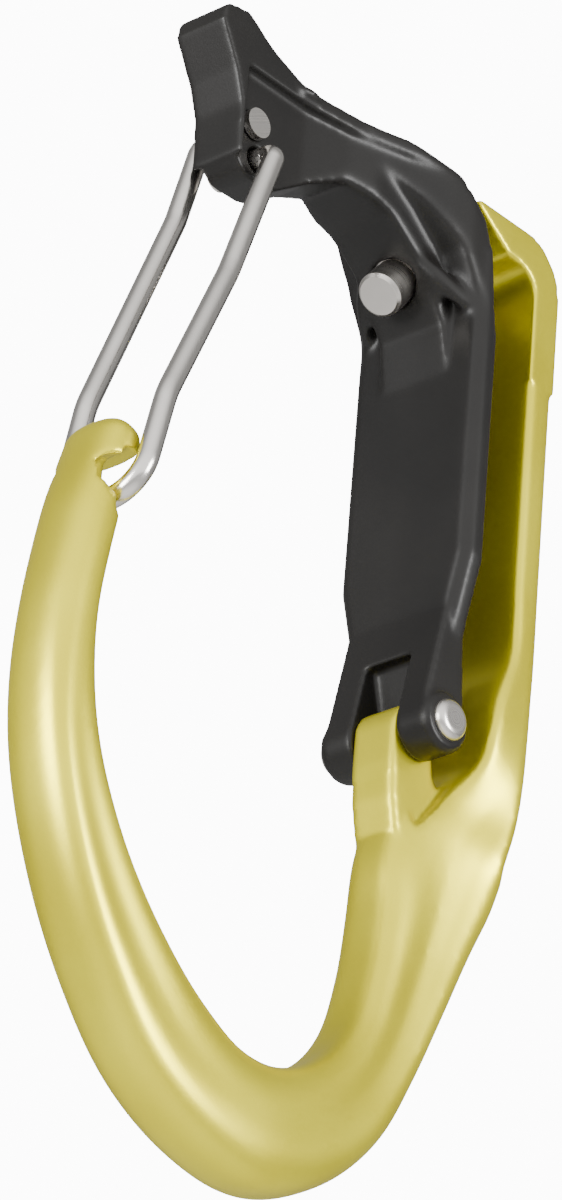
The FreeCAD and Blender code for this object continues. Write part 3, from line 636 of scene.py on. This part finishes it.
# x, y and z of each point, and the radius of the bend there
ROUTE = (
    (-29.4, -3.5, 53.2, 0.0),
    (-29.4, -4.8, 53.2, 1.3),
    (-34.9, -5.0, 36.0, 24.0),
    (-42.4, -5.4, 18.0, 14.0),
    (-45.0, -5.5, 6.0, 4.0),
    (-45.0, 5.5, 6.0, 4.0),
    (-42.6, 5.4, 20.0, 14.0),
    (-33.17, 4.9, 46.41, 12.0),
    (-30.57, 4.8, 56.81, 1.3),
    (-30.57, 3.5, 56.81, 0.0),
)


def wire_tree(material):
    """A node tree that turns a chain of points into a bent wire."""
    tree = bpy.data.node_groups.new("bent_wire", "GeometryNodeTree")
    ports = (("Path", "INPUT", "NodeSocketGeometry"), ("Radius", "INPUT", "NodeSocketFloat"),
             ("Wire", "OUTPUT", "NodeSocketGeometry"))
    for name, way, kind in ports:
        tree.interface.new_socket(name=name, in_out=way, socket_type=kind)

    def add(kind, settings=(), **inputs):
        node = tree.nodes.new(kind)
        for key, value in dict(settings).items():
            setattr(node, key, value)
        for key, value in inputs.items():
            socket = node.inputs[key.replace("_", " ")]
            if isinstance(value, bpy.types.NodeSocket):
                tree.links.new(value, socket)
            else:
                socket.default_value = value
        return node

    start = add("NodeGroupInput")
    path = add("GeometryNodeMeshToCurve", Mesh=start.outputs["Path"])
    bend = add("GeometryNodeInputNamedAttribute", {"data_type": "FLOAT"}, Name="bend")
    bent = add("GeometryNodeFilletCurve", {"mode": "POLY"}, Curve=path.outputs["Curve"], Count=BEND_STEPS,
               Radius=bend.outputs["Attribute"], Limit_Radius=True)
    section = add("GeometryNodeCurvePrimitiveCircle", Resolution=WIRE_SIDES,
                  Radius=start.outputs["Radius"])
    swept = add("GeometryNodeCurveToMesh", Curve=bent.outputs["Curve"],
                Profile_Curve=section.outputs["Curve"], Fill_Caps=True)
    smooth = add("GeometryNodeSetShadeSmooth", Geometry=swept.outputs["Mesh"])
    real = add("GeometryNodeRealizeInstances", Geometry=smooth.outputs["Geometry"])
    painted = add("GeometryNodeSetMaterial", Geometry=real.outputs["Geometry"], Material=material)
    end = tree.nodes.new("NodeGroupOutput")
    tree.links.new(painted.outputs["Geometry"], end.inputs["Wire"])
    return tree


def bend_wire(name, route, diameter, material):
    """A wire that follows the route, as a plain mesh in metres."""
    mesh = bpy.data.meshes.new(name)
    places = [at(x, y, z) for x, y, z, _ in route]
    mesh.from_pydata(places, [(i, i + 1) for i in range(len(route) - 1)], [])
    bends = mesh.attributes.new("bend", "FLOAT", "POINT")
    bends.data.foreach_set("value", [radius * MM for *_, radius in route])
    piece = bpy.data.objects.new(name, mesh)
    bpy.context.scene.collection.objects.link(piece)
    nodes = piece.modifiers.new("wire", "NODES")
    nodes.node_group = wire_tree(material)
    sockets = {item.name: item.identifier for item in nodes.node_group.interface.items_tree}
    nodes[sockets["Radius"]] = diameter / 2 * MM
    bpy.context.view_layer.update()
    result = bpy.data.meshes.new_from_object(piece.evaluated_get(bpy.context.evaluated_depsgraph_get()))
    piece.modifiers.clear()
    piece.data = result
    result.name = name
    print(name, len(result.polygons), "faces")
    return piece


gate = bend_wire("gate_wire", ROUTE, WIRE, wire_steel)
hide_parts("wire_gate")
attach(gate, "gate")

# %% [markdown]
# ## Steel pieces
#
# The rivet, the stud, the bush, the spring and the pins are turned or drawn, so their machined
# shape is right as it is, and each takes a steel finish.

# %% Give the steel pieces their finish
FINISHES = (("hinge_pin", rivet_steel), ("lock_pin", stud_steel), ("catch_pin", rivet_steel),
            ("lock_bush", stud_steel), ("lock_spring", wire_steel), ("gate_wire_ends", rivet_steel))
for node, finish in FINISHES:
    piece = frame["nodes"][node]
    piece.data.materials.clear()
    piece.data.materials.append(finish)
    print(node, "takes", finish.name)

# %% [markdown]
# ## A white room
#
# A small metal product is lit from the viewer's side, in a white room. Light of one strength from
# all round would make its metal flat, so the world is bright behind the viewer and dimmer to the
# sides. Two soft lamps add shine on the left and on the right. Where the room itself is seen, it is
# plain white. The floor is far below, out of sight.

# %% Light the room
def soft_lamp(name, place, target, side, power):
    """A square lamp that faces a point."""
    lamp = bpy.data.lights.new(name, "AREA")
    lamp.size = side
    lamp.energy = power
    holder = bpy.data.objects.new(name, lamp)
    holder.location = place
    holder.rotation_euler = (place - target).to_track_quat("Z", "Y").to_euler()
    bpy.context.scene.collection.objects.link(holder)


def plain(name, colour):
    """A flat, dull finish for the room."""
    board = Board(name)
    board.set("Base Color", (*colour, 1))
    board.set("Roughness", 0.9)
    return board.material


def white_room(front, side, wall):
    """Soft light from behind the viewer, less from the sides, and a bright white wall in view."""
    world = bpy.data.worlds.new("white_room")
    world.use_nodes = True
    tree = world.node_tree

    def add(kind, settings=(), *inputs):
        node = tree.nodes.new(kind)
        for key, value in dict(settings).items():
            setattr(node, key, value)
        for index, value in enumerate(inputs):
            if isinstance(value, bpy.types.NodeSocket):
                tree.links.new(value, node.inputs[index])
            else:
                node.inputs[index].default_value = value
        return node.outputs

    way = add("ShaderNodeTexCoord")["Generated"]
    facing = add("ShaderNodeVectorMath", {"operation": "DOT_PRODUCT"}, way, tuple(KEY_WAY))["Value"]
    soft_step = {"interpolation_type": "SMOOTHSTEP"}
    glow = add("ShaderNodeMapRange", soft_step, facing, -0.1, 0.9, side, front)[0]
    light = add("ShaderNodeBackground", (), (1.0, 1.0, 1.0, 1.0), glow)[0]
    seen = add("ShaderNodeBackground", (), (1.0, 1.0, 1.0, 1.0), wall)[0]
    camera_ray = add("ShaderNodeLightPath")["Is Camera Ray"]
    both = add("ShaderNodeMixShader", (), camera_ray, light, seen)[0]
    tree.links.new(both, tree.nodes["World Output"].inputs["Surface"])
    bpy.context.scene.world = world


KEY_WAY = (BACK + UP * 0.5).normalized()
white_room(front=2.0, side=0.35, wall=12.0)
right = UP.cross(BACK).normalized()
left_place = LOOK_AT + BACK * 0.35 - right * 0.45 + UP * 0.25
right_place = LOOK_AT + BACK * 0.25 + right * 0.5 + UP * 0.1
soft_lamp("lamp_left", left_place, LOOK_AT, 0.30, 5)
soft_lamp("lamp_right", right_place, LOOK_AT, 0.25, 4)
FLOOR_HALF = 2000
FLOOR_TOP, FLOOR_UNDER = -500, -505
corners = [(-FLOOR_HALF, FLOOR_TOP), (FLOOR_HALF, FLOOR_TOP)]
corners += [(FLOOR_HALF, FLOOR_UNDER), (-FLOOR_HALF, FLOOR_UNDER)]
floor = bpy.data.objects.new("floor", slab(corners, -FLOOR_HALF, FLOOR_HALF))
floor.data.transform(Matrix.Scale(MM, 4))
floor.data.materials.append(plain("floor_paint", (0.9, 0.9, 0.9)))
bpy.context.scene.collection.objects.link(floor)
print("lamps and floor are in place")
